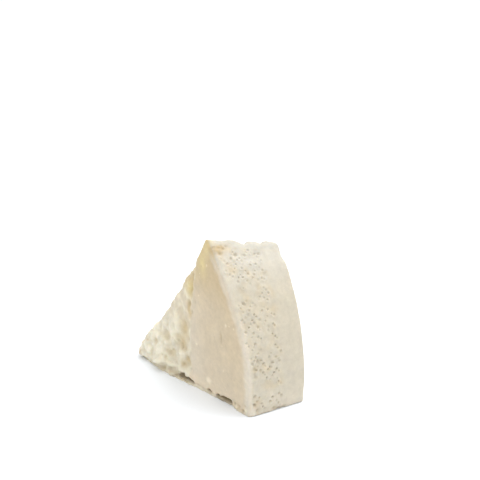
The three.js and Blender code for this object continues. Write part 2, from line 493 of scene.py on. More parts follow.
# %% Relief of the near face
def undercut(points, sunk):
    """The relief of the near face with its foot drawn back under the ledge, and the slots cut."""
    x, y, z = points.T
    ledge = np.interp(x, *np.transpose(LEDGE_LINE))
    foot = np.interp(x, *np.transpose(FOOT_LINE))
    ragged = FOOT_RAGGEDNESS * cloud(points * (1, 0, 1), FOOT_TOOTH, seed=19.0)
    foot += ragged * smoothstep(-x, *FOOT_RAGGED_END)
    under = until(z, 0.3 * ledge, 0.95 * ledge) * span(x, *UNDER_LEDGE, BREAK_FADE)
    under = np.maximum(under, until(z, *BURR_HEIGHTS))
    sunk = sunk * (1 - under) + foot * under
    lip = hump(z, ledge, np.where(z > ledge, LIP_ABOVE, LIP_BELOW))
    sunk -= LEDGE_LIP * lip * span(x, *LIP_SPAN, 4 * BREAK_FADE)
    return sunk + slot_depths(points)


def near_sink(points, upper, climb):
    """How far the near face sinks in along Y, breaks, foot and slots together."""
    x, y, z = points.T
    broken = smoothstep(BREAK_LINE_X + BREAK_LINE_BOW * z * z - x, 0, BREAK_FADE)
    chamfer = CHAMFER_DEPTH * span(climb, CHAMFER_START, CHAMFER_END, CHAMFER_FADE)
    chamfer *= until(upper, 0, CHAMFER_HEIGHT)
    lobe_span = until(np.abs(x - LOBE_X), LOBE_HALF_LENGTH / 2, LOBE_HALF_LENGTH)
    lobe = lobe_span * (LOBE_SINK + LOBE_SLOPE * z)
    lumps = BREAK_GRAIN * cloud(points * (1, 0, 1), GRAIN_SIZE)
    return undercut(points, mounds(x, z, NEAR_MARKS) + broken * (chamfer + lobe + lumps))


print("the lobe leans out by up to", -LOBE_SINK, "mm")

# %% [markdown]
# The upper cut swells by a millimetre in front. Along the rind it rises to a ragged rim,
# whose height is a line of corner points too, from the near side to the far side.

# %% Relief of the upper cut
UPPER_SWELL, SWELL_REACH = 1.1, 26.0
SWELL_START, SWELL_FULL = 5.0, 28.0
RIM_BAND = 16.0
RIM_LINE = [
    (-9, 3.9), (-7, 3.3), (-4.5, 3.1), (-2, 3.5), (6, 3.8), (11, 3.6), (14.5, 2.6), (18, 1.0), (20.3, 3.2),
    (22, 4.1), (27.5, 4.2), (30.6, 2.2), (32.6, 4.4), (36, 5.1), (41, 4.9), (43.5, 4.1), (45, 2.4),
]


def upper_sink(points, near, rind, climb):
    """The upper cut swells a little in front, and rises to its ragged rim along the rind."""
    swell = -UPPER_SWELL * until(near, 0, SWELL_REACH)
    swell *= smoothstep(climb, SWELL_START, SWELL_FULL)
    rim = -np.interp(points[:, 1], *np.transpose(RIM_LINE))
    at_rim = until(rind, 0, RIM_BAND)
    return swell * (1 - at_rim) + rim * at_rim


rim_heights = np.transpose(RIM_LINE)[1]
print("the rim rises", rim_heights.min(), "to", rim_heights.max(), "mm above the upper cut")

# %% [markdown]
# Edges that meet at a sharp line on the sawn block are soft on real cheese. Near an
# edge, every point that lies outside a rolling ball's arc is pulled onto that arc.

# %% Soft edges
RIM_RADIUS = 3.4
FOOT_RADIUS = 0.8
CUT_RADIUS = 1.0
CORNER_RADIUS = 3.6
CORNER_HEIGHTS = (98.0, 112.0)
BACKWARD = np.array([0.0, 1.0, 0.0])
UPWARD = np.array([0.0, 0.0, 1.0])


def round_edge(depth_a, way_a, depth_b, way_b, radius):
    """How far points near the edge of two surfaces move onto an arc of that radius."""
    short_a, short_b = radius - depth_a, radius - depth_b
    length = np.hypot(short_a, short_b)
    outside = (short_a > 0) & (short_b > 0) & (length > radius)
    pull = np.where(outside, 1 - radius / np.maximum(length, 1e-6), 0.0)
    return (short_a * pull)[:, None] * way_a + (short_b * pull)[:, None] * way_b


def soft_edges(points):
    """How far every point moves when the wedge's edges are softened."""
    x, y, z = points.T
    near, upper, rind, climb = depths(points)
    inward = np.stack([AXIS_X - x, np.zeros_like(x), AXIS_HEIGHT - z], 1) / (WHEEL_RADIUS - rind)[:, None]
    corner = NEAR_EDGE_RADIUS + (CORNER_RADIUS - NEAR_EDGE_RADIUS) * smoothstep(z, *CORNER_HEIGHTS)
    move = round_edge(rind, inward, near, BACKWARD, corner)
    move += round_edge(rind, inward, upper, -UPPER, RIM_RADIUS)
    move += round_edge(rind, inward, z, UPWARD, FOOT_RADIUS)
    move += round_edge(near, BACKWARD, upper, -UPPER, CUT_RADIUS)
    move += round_edge(SLICE_WIDTH - y, -BACKWARD, upper, -UPPER, CUT_RADIUS)
    return move


print("edges are softened by", FOOT_RADIUS, "to", CORNER_RADIUS, "mm")

# %% [markdown]
# Now the coarse skin is pushed: first the soft edges, then the near face along Y and the
# upper cut along its own normal. The push fades away with depth, so that the far face
# stays where it is, and no point sinks below the table. The pushed shape is remeshed
# finer at the end.

# %% Push the large breaks into the coarse skin
RELIEF_REACH = 15.0
TIP_CALM_HEIGHT = 10.0


def fade(depth):
    """1 at the surface, down to 0 where the relief reaches no deeper."""
    return np.clip(1 - depth / RELIEF_REACH, 0, 1)


points = points_of(skin)
points += soft_edges(points)
near, upper, rind, climb = depths(points)
sunk = upper_sink(points, near, rind, climb) * fade(upper) * smoothstep(points[:, 2], 0, TIP_CALM_HEIGHT)
points[:, 1] += near_sink(points, upper, climb) * fade(near)
points -= sunk[:, None] * UPPER
points[:, 2] = np.maximum(points[:, 2], 0)
move_points(skin, points)
skin = even_skin(skin, FINE_SQUARE)
print("the fine skin has", len(skin.vertices), "points")

# %% [markdown]
# ## Dots on the rind
# A mould or a roller leaves small round dots in the rind. Here they make a plain
# herringbone: rows of short dashes that lean one way and then the other, worn away in
# patches. Each dot is about two millimetres wide, hardly two of the skin's squares, so
# the squares under the dots are halved twice before any dot is pushed in.

# %% Places of the dots
LOWEST_ANGLE = math.asin(-AXIS_HEIGHT / WHEEL_RADIUS)
ROW_FIRST, ROW_PITCH, ROW_COUNT = -2.0, 6.0, 5
DASH_PITCH = 7.8
DASH_LEAN = math.radians(38)
DOTS_PER_DASH = (3, 4, 3, 2)
DOT_PITCH = 2.7
DOT_ARCS = (6.0, 112.0)
DOT_JITTER = 0.35
DOT_RADII = (0.95, 1.5)
DOT_DEPTHS = (0.25, 0.7)
DOT_SHARES = (1.25, 0.75)
DOT_EDGE_CLEARANCE = 2.6
WORN_PATCH = 13.0
WORN_LIMIT = -0.2
DICE_SEED = 11

dice = np.random.default_rng(DICE_SEED)
dots = []
for row in range(ROW_COUNT):
    lean = DASH_LEAN if row % 2 else -DASH_LEAN
    first = DOT_ARCS[0] + (row % 2) * DASH_PITCH / 2
    for dash, middle in enumerate(np.arange(first, DOT_ARCS[1], DASH_PITCH)):
        count = DOTS_PER_DASH[(dash + row) % len(DOTS_PER_DASH)]
        for along in (np.arange(count) - (count - 1) / 2) * DOT_PITCH:
            arc = middle + along * math.cos(lean) + dice.normal(0, DOT_JITTER)
            y = ROW_FIRST + row * ROW_PITCH + along * math.sin(lean) + dice.normal(0, DOT_JITTER)
            radius, depth = dice.uniform(*DOT_RADII), dice.uniform(*DOT_DEPTHS)
            depth *= np.interp(arc, DOT_ARCS, DOT_SHARES)
            centre = on_rind(LOWEST_ANGLE + arc / WHEEL_RADIUS, y)
            worn = noise.noise(centre / WORN_PATCH) < WORN_LIMIT
            if centre.y + NEAR_FACE_LEAN * centre.z > DOT_EDGE_CLEARANCE and not worn:
                dots.append((centre, radius, depth))
dot_tree = kdtree.KDTree(len(dots))
for index, (centre, radius, depth) in enumerate(dots):
    dot_tree.insert(centre, index)
dot_tree.balance()
print(len(dots), "dots on the rind")

# %% [markdown]
# Each round halves the edges of all squares within its reach of a dot. A square beside
# them ends up with extra corners, so every face of more than four corners is split into
# triangles.

# %% Halve the squares under the dots
HALVED_REACHES = (1.7, 1.0)

bm = bmesh.new()
bm.from_mesh(skin)
for reach in HALVED_REACHES:
    under = [face for face in bm.faces if dot_tree.find(face.calc_center_median())[2] < reach]
    edges = list(dict.fromkeys(edge for face in under for edge in face.edges))
    bmesh.ops.subdivide_edges(bm, edges=edges, cuts=1, use_grid_fill=True)
bmesh.ops.triangulate(bm, faces=[face for face in bm.faces if len(face.verts) > 4])
bm.to_mesh(skin)
bm.free()
print("the skin now has", len(skin.vertices), "points and", len(skin.polygons), "faces")

# %% [markdown]
# ## The fine surface
# A broken face of hard cheese is made of small cleaved planes with rounded crumbs
# between them. Each cell of a Voronoi pattern becomes one such plane with a tilt of its
# own, or a dome. Two sizes of cell and some noise give the surface its grain. The sawn
# faces keep a faint grain with a few crystals and pits, and the lower cut stays level
# because the wedge stands on it.

# %% Patterns of the fine surface
TILT_LOTS, FLECK_LOTS = 57.0, 91.0
PLANE_STEP, DOME_TOP = 0.3, 0.45
PIT_ODDS, SMALLEST_FLECK = 0.45, 0.6


def cells(points, size, seed):
    """Two reliefs from one pattern of cells: tilted planes and rounded domes, in units of the size."""
    planes, domes = np.empty(len(points)), np.empty(len(points))
    shift = Vector((seed, 0.6 * seed, 1.9 * seed))
    for index, point in enumerate(points / size):
        place = Vector(point) + shift
        distances, centres = noise.voronoi(place)
        tilt = noise.cell_vector(centres[0] * TILT_LOTS) - Vector((0.5, 0.5, 0.5))
        planes[index] = (place - centres[0]).dot(tilt) + PLANE_STEP * tilt.x
        domes[index] = DOME_TOP - distances[0]
    return planes, domes


def flecks(points, size, half, share, seed):
    """Scattered round spots, one in some of the cells: near 1 at a crystal, near -1 at a pit."""
    spots = np.zeros(len(points))
    shift = Vector((seed, 1.6 * seed, 0.7 * seed))
    for index, point in enumerate(points / size):
        distances, centres = noise.voronoi(Vector(point) + shift)
        lot = noise.cell_vector(centres[0] * FLECK_LOTS)
        if lot.x < share:
            sign = 1.0 if lot.y > PIT_ODDS else -1.0
            reach = half * (SMALLEST_FLECK + lot.z)
            spots[index] = sign * max(0.0, 1.0 - (distances[0] * size / reach) ** 2)
    return spots


def blurred(values, edges, rounds):
    """The values averaged with those of neighbouring points, several times over."""
    first, second = edges.T
    count = np.bincount(edges.ravel(), minlength=len(values))
    for _ in range(rounds):
        total = np.bincount(first, values[second], len(values))
        total += np.bincount(second, values[first], len(values))
        values = 0.5 * values + 0.5 * total / count
    return values


print("the patterns are worked out at", len(skin.vertices), "points")

# %% [markdown]
# The fine surface and the finish both have to know what each place is. The depths
# behind the near face, the upper cut and the rind tell broken paste, sawn paste, the
# rind and its ragged rim apart. Each is a share that runs softly from 0 to 1, over the
# distances in millimetres that the pairs below name.

# %% Broken paste, rind and rim
BREAK_RETREAT = 0.9
BREAK_WOBBLE, WOBBLE_SIZE = 2.4, 9.0
BREAK_SOFTNESS = (-0.5, 2.0)
RIM_CRUMBLE, RIM_CLEARANCE = 3.5, (3.0, 7.0)
RIM_REACH, RIM_SOFTNESS = 4.8, 2.0
RIM_WANDER, RIM_WANDER_SIZE = 1.5, 5.0
FOOT_LINE_SHARE, FOOT_LINE_HEIGHTS, FOOT_LINE_DEPTHS = 0.5, (0.5, 2.5), (1.0, 4.0)
HEEL_SHARE, HEEL_HEIGHTS, HEEL_DEPTHS, HEEL_REACH = 0.6, (5, 13), (3, 6), (3, 8)
RIND_DEPTHS = (-1.8, -0.9)
BASE_HEIGHTS, BASE_FACING = (0.1, 0.9), (0.6, 0.9)
NEAR_DEPTHS, NEAR_FACING = (5, 9), (0.3, 0.7)
DOTTED_EDGE = (24.0, 32.0)

points = points_of(skin)
normals = normals_of(skin)
x, y, z = points.T
near, upper, rind, climb = depths(points)
arc = (np.arctan2(z - AXIS_HEIGHT, x - AXIS_X) - LOWEST_ANGLE) * WHEEL_RADIUS
wobble = BREAK_WOBBLE * cloud(points, WOBBLE_SIZE, seed=3.0)
inside = BREAK_LINE_X + BREAK_LINE_BOW * z * z - BREAK_RETREAT * np.maximum(y, 0) - x + wobble
rim_reach = RIM_REACH + RIM_WANDER * cloud(points, RIM_WANDER_SIZE, seed=17.0)
at_rim = until(upper, 0.6 * RIM_CRUMBLE, 1.4 * RIM_CRUMBLE)
at_rim *= until(rind, rim_reach - RIM_SOFTNESS, rim_reach) * smoothstep(near, *RIM_CLEARANCE)
at_foot = until(z, *FOOT_LINE_HEIGHTS) * until(near, *FOOT_LINE_DEPTHS)
at_heel = until(z, *HEEL_HEIGHTS) * until(near, *HEEL_DEPTHS) * until(rind, *HEEL_REACH)
broken = np.maximum(smoothstep(inside, *BREAK_SOFTNESS), at_rim)
broken = np.maximum.reduce([broken, FOOT_LINE_SHARE * at_foot, HEEL_SHARE * at_heel])
rind_share = smoothstep(-rind, *RIND_DEPTHS) * (1 - at_rim)
dotted = until(y, *DOTTED_EDGE)
base_share = until(z, *BASE_HEIGHTS) * smoothstep(-normals[:, 2], *BASE_FACING)
near_share = smoothstep(-normals[:, 1], *NEAR_FACING) * until(near, *NEAR_DEPTHS)
print("broken share of the skin", round(float(broken.mean()), 2))

# %% [markdown]
# Below the ledge the paste gets painted shade, and most of all in the slots and on the
# burr under the small gap. High on the break and in the trough the paste has cleaved
# smoothly, so the grain is calmer there, and on the rim and in the slots as well.

# %% Ledge, slots and calm stretches
LEDGE_SPAN, LEDGE_SPAN_FADE, LEDGE_DEPTHS = (-142.0, -62.0), 18, (0, 2)
SLOT_CUTS, SLOT_BACK = (0.3, 1.0), (9, 11)
SLOT_SHADE_DEPTHS = (1.8, 3.6)
BURR_SHADE = [(-37, 0), (-34, 0.45), (-22, 0.45), (-20, 0)]
BURR_SHADE_HEIGHTS, BURR_SHADE_DEPTHS = (1.2, 2.4), (3, 5)
CALM_HEIGHTS, CALM_END = (28.0, 44.0), (64, 76)
CALM_LOSS, CALM_LOSS_DEPTHS = 0.6, (4, 12)
CALM_SPOTS = [("trough", -78, 33, 6, 10, 0.7)]
CALM_SHARE, CALM_RIM_SHARE, CALM_SLOT_SHARE = 0.8, 0.65, 0.7

ledge = np.interp(x, *np.transpose(LEDGE_LINE))
foot = np.interp(x, *np.transpose(FOOT_LINE))
under_ledge = until(z, 0.4 * ledge, ledge) * span(x, *LEDGE_SPAN, LEDGE_SPAN_FADE)
under_ledge *= until(near, *LEDGE_DEPTHS)
# Where the slots cut deep, the finish paints shade.
slotted = smoothstep(slot_depths(points), *SLOT_CUTS) * smoothstep(near - foot, *SLOT_SHADE_DEPTHS)
slotted *= until(near, *SLOT_BACK)
# The burr below the small gap gets painted shade too.
burr_shade = np.interp(x, *np.transpose(BURR_SHADE)) * until(z, *BURR_SHADE_HEIGHTS)
burr_shade *= until(near, *BURR_SHADE_DEPTHS)
calm = smoothstep(z, *CALM_HEIGHTS) * smoothstep(-x, *CALM_END)
calm *= 1 - CALM_LOSS * smoothstep(near, *CALM_LOSS_DEPTHS)
calm = np.maximum(calm, mounds(x, z, CALM_SPOTS))
roughness = (1 - CALM_SHARE * calm) * (1 - CALM_RIM_SHARE * at_rim) * (1 - CALM_SLOT_SHARE * slotted)
print("average roughness of the broken paste", round(float(np.average(roughness, weights=broken)), 2))

# %% [markdown]
# Some crystals, pits and cracks are large enough to be placed one by one. Those of the
# near face are given by their X and Z, and those of the rind by the way up along the
# rind and their Y, each with its half sizes and how far it sinks in.

# %% Single crystals, pits and cracks
FINE_MARKS = [
    ("large crystal", -47.6, 10.4, 3.2, 2.2, -1.0),
    ("side crystal", -59.7, 34, 1.4, 0.9, -0.7),
    ("high crystal", -21, 60, 1.2, 1.2, -0.6),
    ("low crystal", -28, 43, 1.0, 1.0, -0.5),
    ("high pit", -36, 67, 1.2, 1.2, 0.4),
    ("pit", -37, 46.6, 1.2, 1.0, 0.5),
    ("crack", -28.5, 48.5, 1.0, 4.5, 0.8),
    ("brow hole", -63.2, 72.8, 1.4, 2.2, 0.6),
    ("side hole", -67.4, 62.2, 1.7, 1.5, 0.5),
    ("edge hole", -57.2, 66, 1.2, 1.8, 0.6),
    ("smudge", -63.4, 57.2, 1.6, 2.0, 0.6),
    ("trough hole", -74, 45.4, 1.4, 2.6, 0.7),
    ("trough dip", -75.5, 38, 2.0, 1.6, 0.5),
    ("left hole", -85.4, 28.2, 1.5, 1.4, 0.9),
    ("inner hole", -82.8, 26.4, 1.3, 1.3, 0.8),
    ("middle hole", -81.4, 24.4, 1.6, 1.2, 0.9),
    ("right hole", -75, 26.6, 1.4, 1.3, 0.7),
    ("low hole", -73.2, 19.4, 2.0, 1.4, 0.9),
    ("foot hole", -79.2, 12.3, 1.5, 1.4, 0.8),
    ("corner hole", -71.2, 10.8, 1.3, 1.2, 0.7),
    ("foot pit, left", -18.0, 3.8, 1.4, 1.1, 1.2),
    ("foot pit, middle", -13.0, 3.2, 1.4, 1.1, 1.3),
    ("foot pit, right", -8.6, 2.0, 1.3, 1.0, 1.3),
    ("foot crumb", -15.4, 2.2, 1.2, 1.0, -0.9),
    ("corner crumb", -4.8, 3.5, 1.5, 1.3, -0.8),
    ("corner pit", -6.0, 6.4, 1.1, 0.9, 0.7),
]
RIND_MARKS = [
    ("crack, left", 119.6, -6.2, 0.6, 1.4, 0.6),
    ("crack, middle", 118.4, -2.8, 0.7, 1.3, 0.7),
    ("crack, right", 117.2, 0.4, 0.9, 1.2, 0.8),
    ("crack, spur", 119.8, -0.6, 1.0, 0.6, 0.5),
    ("corner hole", 114.3, -3.6, 1.1, 1.3, 0.8),
    ("rim hole", 118.6, 3.0, 0.8, 0.8, 0.8),
    ("large hole", 111.4, 7.7, 1.2, 1.5, 1.3),
    ("small hole", 109.9, 3.2, 0.9, 0.9, 0.9),
    ("far hole", 108.9, 25.5, 1.0, 1.0, 0.9),
    ("far small hole", 109.4, 22.4, 0.8, 0.8, 0.7),
    ("heel hole", 8.4, 2.6, 1.2, 1.1, 1.2),
    ("heel small hole", 4.1, 5.4, 1.3, 1.1, 1.2),
    ("foot chip", 1.2, 23.6, 1.2, 1.9, 1.6),
    ("foot nick", 2.2, 19.4, 1.1, 1.1, 1.1),
    ("far foot nick", 1.4, 27.4, 1.1, 1.3, 1.3),
    ("strip nick", 79.0, 1.4, 1.1, 0.8, 0.6),
    ("strip pit", 37.0, 2.0, 1.0, 0.8, 0.5),
    ("low strip pit", 14.5, 1.6, 1.2, 0.8, 0.5),
    ("strip hollow, high", 39.2, 6.0, 1.6, 1.2, 1.2),
    ("strip hollow", 34.2, 2.8, 1.6, 1.2, 1.0),
    ("strip hollow, low", 29.1, 3.2, 1.5, 1.2, 1.0),
    ("strip bump", 25.4, 2.8, 1.6, 1.2, -0.9),
    ("far corner chip", 105.5, 45.0, 5.0, 3.2, 1.9),
]
MARKED_RIND_DEPTHS = (-4.5, -2.5)

marks = mounds(x, z, FINE_MARKS) * near_share * (1 - rind_share)
rind_marks = mounds(arc, y, RIND_MARKS) * smoothstep(-rind, *MARKED_RIND_DEPTHS)
print(len(FINE_MARKS), "marks on the near face and", len(RIND_MARKS), "on the rind")

# %% [markdown]
# Each pattern below is multiplied by its height in millimetres, and the patterns of one
# kind of surface are added up. The size of a pattern's lumps is in millimetres too. The
# saw leaves faint upright streaks, so their pattern is stretched along Z.

# %% Relief of the break, the sawn paste and the rind
LARGE_CELL, SMALL_CELL = 8.0, 3.2
FLECK_CELL, FLECK_HALF, FLECK_ODDS = 5.5, 0.9, 0.5
STREAK_STRETCH = (1, 1, 0.12)
TABLE_CALM_HEIGHT = 2.0

planes_large, domes_large = cells(points, LARGE_CELL, seed=1.0)
planes_small, domes_small = cells(points, SMALL_CELL, seed=5.0)
grain = cloud(points, 1.3, seed=12.0)
curd = cloud(points, 4.2, seed=31.0)
fracture = 2.0 * planes_large + 1.2 * domes_large + 0.7 * planes_small + 0.3 * domes_small
fracture += 0.9 * cloud(points, 5.5, seed=9.0) + 0.5 * curd
fracture += 0.25 * cloud(points, 2.6, seed=14.0) + 0.14 * cloud(points, 1.6, seed=8.0)
fracture += 0.5 * at_heel * domes_small + 0.9 * under_ledge * cloud(points, 3.0, seed=33.0)
spots = flecks(points, FLECK_CELL, FLECK_HALF, FLECK_ODDS, seed=15.0)
streaks = cloud(points * STREAK_STRETCH, 1.6, seed=21.0)
sawn_grain = 0.06 * grain + 0.14 * cloud(points, 5.0, seed=4.0) + 0.22 * spots + 0.05 * streaks
rind_swell = 0.3 * cloud(points, 13.0, seed=6.0) + 0.08 * grain
rind_swell += dotted * (0.6 * cloud(points, 4.0, seed=7.0) + 0.35 * np.minimum(spots, 0))
relief = roughness * broken * fracture + (1 - broken) * sawn_grain
relief = relief * (1 - rind_share) + rind_swell * rind_share
relief *= (1 - base_share) * smoothstep(z, 0.0, TABLE_CALM_HEIGHT)
print("the break's relief spreads by", round(float(fracture.std()), 2), "mm")

# %% [markdown]
# A dot is a small round bowl with a low lip, where the paste was pressed aside. The
# relief is softened once, so that no crumb is sharper than real cheese lets it be. Far
# more rounds of the same softening show where a place lies lower than what is around
# it, and the finish uses that for the painted shade in its hollows.

# %% Press the dots and the fine surface in
DOTTED_RIND_SHARE = 0.3
BOWL_FLOOR = 0.1
LIP_HEIGHT, LIP_PLACE, LIP_HALF = 0.35, 1.25, 0.35
BREAK_SOFTENING = 1
HOLLOW_SOFTENING = 16

dent = np.zeros(len(points))
for index in np.nonzero(rind_share > DOTTED_RIND_SHARE)[0]:
    dot, distance = dot_tree.find(points[index])[1:]
    radius, depth = dots[dot][1:]
    bowl = until(distance, BOWL_FLOOR * radius, radius)
    lip = LIP_HEIGHT * hump(distance, LIP_PLACE * radius, LIP_HALF * radius)
    dent[index] = depth * (bowl - lip)

edges = np.empty(len(skin.edges) * 2, np.int32)
skin.edges.foreach_get("vertices", edges)
edges = edges.reshape(-1, 2)
relief = blurred(relief, edges, BREAK_SOFTENING)
hollow = blurred(relief, edges, HOLLOW_SOFTENING) - relief
relief -= marks + rind_marks + dent
points += relief[:, None] * normals
points[:, 2] = np.maximum(points[:, 2], 0)
move_points(skin, points)
print("relief from", round(relief.min(), 2), "to", round(relief.max(), 2), "mm")

# %% [markdown]
# ## Masks for the finish
# The finish needs to know what each place is: rind, broken paste, a hollow, the butter
# yellow paste that lies under the rind, an edge rubbed pale and given a painted highlight.
# Each of these is kept as an attribute of the skin, which the material reads by name.
# The sawn paste turns from ivory to butter yellow towards the rind and the top, and near
# the top this is partly painted shade. Its foot is painted paler, as painted light
# against the shade that falls there.

# %% Masks of the sawn paste
BUTTER_START = 0.14
BUTTER_OUTWARD = [(0.3, -75, -40), (0.1, -40, -10)]
BUTTER_AND_SHADE_UPWARD = [(0.16, 10, 55), (0.34, 60, 95)]
FOOT_LIGHT_HEIGHT, FOOT_LIGHT_START = 8.5, (1.2, 2.6)
FOOT_LIGHT_LOSS, FOOT_LIGHT_LOSS_WAY = 0.5, (-40, -10)
FLECK_SHARE = 0.55


def keep_mask(name, values):
    """Keeps one value for each point of the skin, under a name that the material can read."""
    mask = skin.attributes.new(name, "FLOAT", "POINT")
    mask.data.foreach_set("value", values.astype(np.float32))
    print("mask", name, "averages", round(float(values.mean()), 3))


sawn_share = (1 - broken) * (1 - rind_share)
butter = BUTTER_START + sum(gain * smoothstep(x, *way) for gain, *way in BUTTER_OUTWARD)
# Upward the mask is partly the paste's own yellow and partly painted shade at the top.
butter += sum(gain * smoothstep(z, *way) for gain, *way in BUTTER_AND_SHADE_UPWARD)
# Painted light: the foot of the sawn face is painted paler where shade falls near the table.
painted_foot_light = np.exp(-z / FOOT_LIGHT_HEIGHT) * smoothstep(z, *FOOT_LIGHT_START) * sawn_share * near_share
painted_foot_light *= 1 - FOOT_LIGHT_LOSS * smoothstep(x, *FOOT_LIGHT_LOSS_WAY)
keep_mask("butter", np.clip(butter, 0, 1))
keep_mask("painted_foot_light", painted_foot_light)
# Negative flecks are pits and get a brown painted shade; positive ones are white crystals.
keep_mask("fleck", FLECK_SHARE * spots * sawn_share - np.clip(marks, -1, 1))

# %% [markdown]
# Broken paste gets a painted highlight on the crumbs and lumps that stand out, and a
# yellowish painted shade in the hollows between them. The crest of the ledge counts as
# a lump.

# %% Masks of the broken paste
CREST_SPAN, CREST_SPAN_FADE = (-110.0, -62.0), 8
CREST_LIFT, CREST_HALF = 0.8, 1.3
LUMP_HEIGHT, LUMP_HIGHLIGHT = 1.6, 0.8
SMOOTH_HEIGHTS = (36, 52)
CREASE_LEVEL, CREASE_DEPTH, CREASE_FREE = 0.3, 1.4, 0.7

on_break = broken * (1 - np.maximum(rind_share, at_rim))
# Lumps and the ledge's crest get a painted highlight in the curd mask; the curd noise is the paste's own
# tone.
lumps = np.clip(-mounds(x, z, NEAR_MARKS) / LUMP_HEIGHT, 0, 1)
crest = hump(z, ledge + CREST_LIFT, CREST_HALF) * span(x, *CREST_SPAN, CREST_SPAN_FADE)
raised = np.clip(lumps + crest, 0, 1)
# Yellowish painted shade in the hollows of the break.
crease = np.clip(CREASE_LEVEL + hollow / CREASE_DEPTH, 0, 1)
keep_mask("broken", broken * (1 - rind_share))
keep_mask("curd", (curd + LUMP_HIGHLIGHT * raised) * on_break)
keep_mask("smooth", smoothstep(z, *SMOOTH_HEIGHTS) * on_break)
keep_mask("crease", crease * on_break * (1 - CREASE_FREE * raised))

# %% [markdown]
# Some places have a colour of their own. Patches among the dots of the rind are tan,
# the crumbled edge above the break is butter yellow, and a crack below the rim shows
# ochre. Deep hollows of the break, its foot and the paste under the ledge get a tan
# painted shade in the same mask as the rind's tan patches.

# %% Masks of the stains and of the painted shade in the hollows
HOLLOW_SHADE_SPOTS = [
    ("trough", -80.5, 28, 6.5, 7.5, 1.0),
    ("trough top", -75, 41, 5, 8, 0.95),
    ("lower hole", -73.5, 17, 4.5, 3.5, 0.9),
    ("foot hole", -79, 12, 4, 3, 0.8),
    ("near pit", -94.5, 16.5, 4.5, 4, 0.5),
    ("groove", -101, 28, 3.5, 5, 0.4),
    ("smudge", -65, 56.5, 3.5, 5, 1.0),
    ("side pit", -66.5, 62.5, 3, 4, 0.5),
    ("far pit", -121.5, 19.5, 3, 2.5, 0.4),
    ("lobe pit", -112, 20, 3, 2.5, 0.5),
    ("tip", -133, 5, 4, 2, 0.4),
    ("brow", -62, 77, 7, 8, 1.4),
]
LUMP_SHADE_FREE = 0.8
FOOT_SHADE, FOOT_SHADE_HEIGHTS, LEDGE_SHADE_TAN = 0.05, (0.6, 2.2), 0.3
RIND_STAIN, RIND_STAIN_SIZE = 0.6, 7.0
YELLOW_SPOTS = [
    ("upper tip", -45, 97, 5, 9, 0.9),
    ("brow", -56, 88, 5, 5, 0.4),
    ("low brow", -67, 74, 5.5, 6, 0.9),
    ("rim corner", -39, 110, 5, 7, 0.7),
]
YELLOW_DEPTHS, YELLOW_RIND_HEIGHTS = (3, 6), (102, 108)
OCHRE_SPOTS = [
    ("crack", 118.2, -2.8, 4.0, 6.5, 1.25),
    ("corner hole", 114.3, -3.6, 1.8, 1.8, 0.3),
    ("stain", 105, 2, 8, 6, 0.15),
    ("heel", 6, 5, 5, 4, 0.25),
]
OCHRE_DEPTHS = (-5.0, -3.0)
OCHRE_LEVEL, OCHRE_SWING, OCHRE_PATCH = 0.85, 0.45, 2.8
OCHRE_LOSS, OCHRE_END = 0.6, (119.5, 122.0)

# Tan painted shade in the break's hollows, at its foot and under the ledge.
stain = mounds(x, z, HOLLOW_SHADE_SPOTS) * near_share * broken * (1 - LUMP_SHADE_FREE * raised)
stain = np.maximum(stain, FOOT_SHADE * until(z, *FOOT_SHADE_HEIGHTS) * near_share)
stain = np.maximum(stain, LEDGE_SHADE_TAN * under_ledge)
stain += RIND_STAIN * dotted * rind_share * np.maximum(cloud(points, RIND_STAIN_SIZE, seed=41.0), 0)
yellow = np.clip(mounds(x, z, YELLOW_SPOTS), 0, 1) * until(near, *YELLOW_DEPTHS)
yellow *= 1 - rind_share * until(z, *YELLOW_RIND_HEIGHTS)
ochre = mounds(arc, y, OCHRE_SPOTS) * smoothstep(-rind, *OCHRE_DEPTHS)
ochre *= OCHRE_LEVEL + OCHRE_SWING * cloud(points, OCHRE_PATCH, seed=23.0)
ochre *= 1 - OCHRE_LOSS * smoothstep(arc, *OCHRE_END)
keep_mask("stain", np.clip(stain, 0, 1))
keep_mask("yellow", yellow)
keep_mask("ochre", np.clip(ochre, 0, 1))

# %% [markdown]
# A grey brown painted shade darkens the places out of the light: the slots, patches
# under the ledge and the burr below the small gap.

# %% Mask of the painted shade in the gaps
LEDGE_SHADE_HEIGHTS = (0.8, 2.2)
LEDGE_SHADE_LEVEL, LEDGE_SHADE_SWING, LEDGE_SHADE_PATCH = 0.8, 0.5, 4.5
TIP_SHADE, TIP_SHADE_END = 0.6, (-116, -100)
LEDGE_SHADE = 0.42
ROOF_LOSS, ROOF_HEIGHTS = 0.2, (2, 4)

# Painted shade under the ledge, in the slots and on the burr.
patches = np.clip(LEDGE_SHADE_LEVEL + LEDGE_SHADE_SWING * cloud(points, LEDGE_SHADE_PATCH, seed=35.0), 0, 1)
ledge_shade = under_ledge * smoothstep(z, *LEDGE_SHADE_HEIGHTS) * patches
ledge_shade *= TIP_SHADE + (1 - TIP_SHADE) * smoothstep(x, *TIP_SHADE_END)
slot_shade = slotted * (1 - ROOF_LOSS * smoothstep(z, *ROOF_HEIGHTS))
keep_mask("gap", np.maximum.reduce([slot_shade, LEDGE_SHADE * ledge_shade, burr_shade]))

# %% [markdown]
# The rind is paler towards its top, and the ragged rim is a pale cream. Pressed dots,
# cracks and holes get a brown painted shade, and the deeper they are, the more of it.

# %% Masks of the rind
CROWN_HEIGHTS = (76, 102)
FULL_SHADE_DEPTH, SHADED_MARKS_END = 0.7, (39, 42)

crown = np.maximum(smoothstep(z, *CROWN_HEIGHTS) * rind_share, at_rim)
